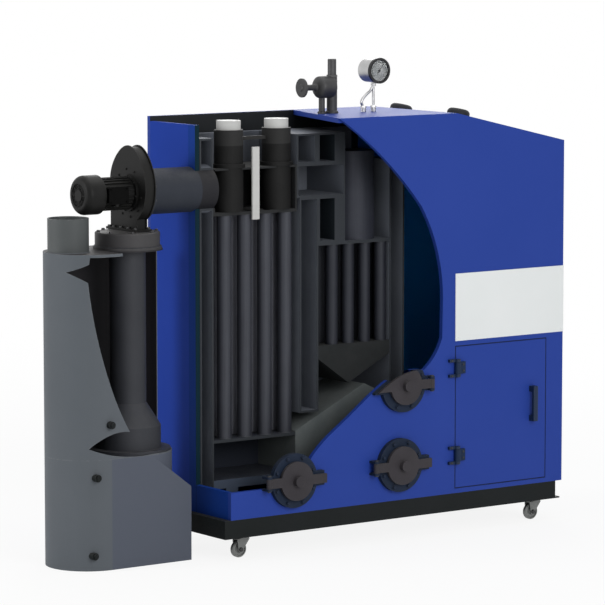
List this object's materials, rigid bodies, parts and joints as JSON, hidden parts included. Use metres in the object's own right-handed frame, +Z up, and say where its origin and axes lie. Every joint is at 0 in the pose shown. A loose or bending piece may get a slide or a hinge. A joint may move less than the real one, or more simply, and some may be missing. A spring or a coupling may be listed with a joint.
{
  "type": "industrial boiler",
  "caption": "Cut-away industrial boiler on castors: sloped casing with side door and hatches, tube banks, smoke box, exhaust fan and dust collector.",
  "frame": {"origin": "centre of the footprint, on the floor", "axes": "+X from the dust collector towards the end with the side door, +Y from the side with the door and the section to the plain far side, +Z up"},
  "size_m": [2.388, 0.663, 1.992],
  "materials": {
    "casing_blue": "satin paint",
    "base_black": "semi-matte paint",
    "plate_white": "satin paint",
    "handle_black": "fine texture",
    "castor_steel": "zinc plated",
    "castor_tread": "pale, worn",
    "hatch_ring_dark": "dark paint over casting",
    "hatch_plate_brown": "bare, browned",
    "vessel_steel": "dull heat-resistant paint",
    "tube_steel": "dull rolled steel",
    "cap_white": "satin paint",
    "duct_blue_grey": "satin paint",
    "fan_black": "satin paint",
    "collector_grey": "satin paint",
    "valve_metal": "dark casting",
    "gauge_case": "polished case"
  },
  "bodies": {
    "boiler": {"ash_box": "collector_grey", "ash_flange": "collector_grey", "ash_slope": "vessel_steel", "bare_plate": "plate_white", "base_frame": "base_black", "chimney_stub": "collector_grey", "cleaning_bar": "cap_white", "cleaning_cylinders": "tube_steel", "collector_lid": "collector_grey", "collector_shell": "collector_grey", "cylinder_caps": "cap_white", "door_hinges": "casing_blue", "duct_collar": "duct_blue_grey", "exhaust_duct": "duct_blue_grey", "fan_motor": "fan_black", "fan_outlet": "fan_black", "fan_scroll": "fan_black", "far_panel": "casing_blue", "far_water_wall": "vessel_steel", "fire_roof": "vessel_steel", "first_pass_tubes": "tube_steel", "floor_panel": "base_black", "front_panel": "casing_blue", "front_water_wall": "vessel_steel", "gas_passage": "vessel_steel", "hatch_frames": "hatch_ring_dark", "inner_pipe": "collector_grey", "lower_tube_plate": "vessel_steel", "middle_water_wall": "vessel_steel", "near_panel": "casing_blue", "pressure_gauge": "gauge_case", "rear_panel": "casing_blue", "rear_water_wall": "vessel_steel", "roof_knobs": "base_black", "roof_panel": "casing_blue", "safety_valve": "valve_metal", "second_pass_tubes": "tube_steel", "side_clips": "base_black", "slope_panel": "casing_blue", "smoke_box": "vessel_steel", "terminal_box": "fan_black", "turning_drum": "tube_steel", "vessel_floor": "vessel_steel"},
    "side_door": {"side_door": "casing_blue", "door_handle": "handle_black"},
    "hatch_door_1": {"hatch_door_1": "hatch_plate_brown"},
    "hatch_door_2": {"hatch_door_2": "hatch_plate_brown"},
    "hatch_door_3": {"hatch_door_3": "hatch_plate_brown"},
    "castor_swivel_near_rear": {"castor_fork_near_rear": "castor_steel"},
    "castor_roll_near_rear": {"castor_wheel_near_rear": "castor_tread"},
    "castor_swivel_near_front": {"castor_fork_near_front": "castor_steel"},
    "castor_roll_near_front": {"castor_wheel_near_front": "castor_tread"},
    "castor_swivel_far_rear": {"castor_fork_far_rear": "castor_steel"},
    "castor_roll_far_rear": {"castor_wheel_far_rear": "castor_tread"},
    "castor_swivel_far_front": {"castor_fork_far_front": "castor_steel"},
    "castor_roll_far_front": {"castor_wheel_far_front": "castor_tread"}
  },
  "joints": [
    {"name": "side_door_hinge", "type": "hinge", "parent": "boiler", "child": "side_door", "pos_m": [0.614, -0.2818, 0.488], "axis": [0, 0, -1], "range_deg": [0, 100]},
    {"name": "hatch_1_hinge", "type": "hinge", "parent": "boiler", "child": "hatch_door_1", "pos_m": [0.174, -0.3025, 0.316], "axis": [0, 0, -1], "range_deg": [0, 100]},
    {"name": "hatch_2_hinge", "type": "hinge", "parent": "boiler", "child": "hatch_door_2", "pos_m": [0.461, -0.3025, 0.649], "axis": [0, 0, 1], "range_deg": [0, 100]},
    {"name": "hatch_3_hinge", "type": "hinge", "parent": "boiler", "child": "hatch_door_3", "pos_m": [-0.367, -0.3025, 0.303], "axis": [0, 0, -1], "range_deg": [0, 100]},
    {"name": "swivel_near_rear", "type": "hinge", "parent": "boiler", "child": "castor_swivel_near_rear", "pos_m": [-0.432, -0.2065, 0.08], "axis": [0, 0, 1], "continuous": true},
    {"name": "roll_near_rear", "type": "hinge", "parent": "castor_swivel_near_rear", "child": "castor_roll_near_rear", "pos_m": [-0.454, -0.2065, 0.034], "axis": [0, 1, 0], "continuous": true},
    {"name": "swivel_near_front", "type": "hinge", "parent": "boiler", "child": "castor_swivel_near_front", "pos_m": [1.094, -0.2065, 0.08], "axis": [0, 0, 1], "continuous": true},
    {"name": "roll_near_front", "type": "hinge", "parent": "castor_swivel_near_front", "child": "castor_roll_near_front", "pos_m": [1.072, -0.2065, 0.034], "axis": [0, 1, 0], "continuous": true},
    {"name": "swivel_far_rear", "type": "hinge", "parent": "boiler", "child": "castor_swivel_far_rear", "pos_m": [-0.432, 0.2695, 0.08], "axis": [0, 0, 1], "continuous": true},
    {"name": "roll_far_rear", "type": "hinge", "parent": "castor_swivel_far_rear", "child": "castor_roll_far_rear", "pos_m": [-0.454, 0.2695, 0.034], "axis": [0, 1, 0], "continuous": true},
    {"name": "swivel_far_front", "type": "hinge", "parent": "boiler", "child": "castor_swivel_far_front", "pos_m": [1.094, 0.2695, 0.08], "axis": [0, 0, 1], "continuous": true},
    {"name": "roll_far_front", "type": "hinge", "parent": "castor_swivel_far_front", "child": "castor_roll_far_front", "pos_m": [1.072, 0.2695, 0.034], "axis": [0, 1, 0], "continuous": true}
  ]
}
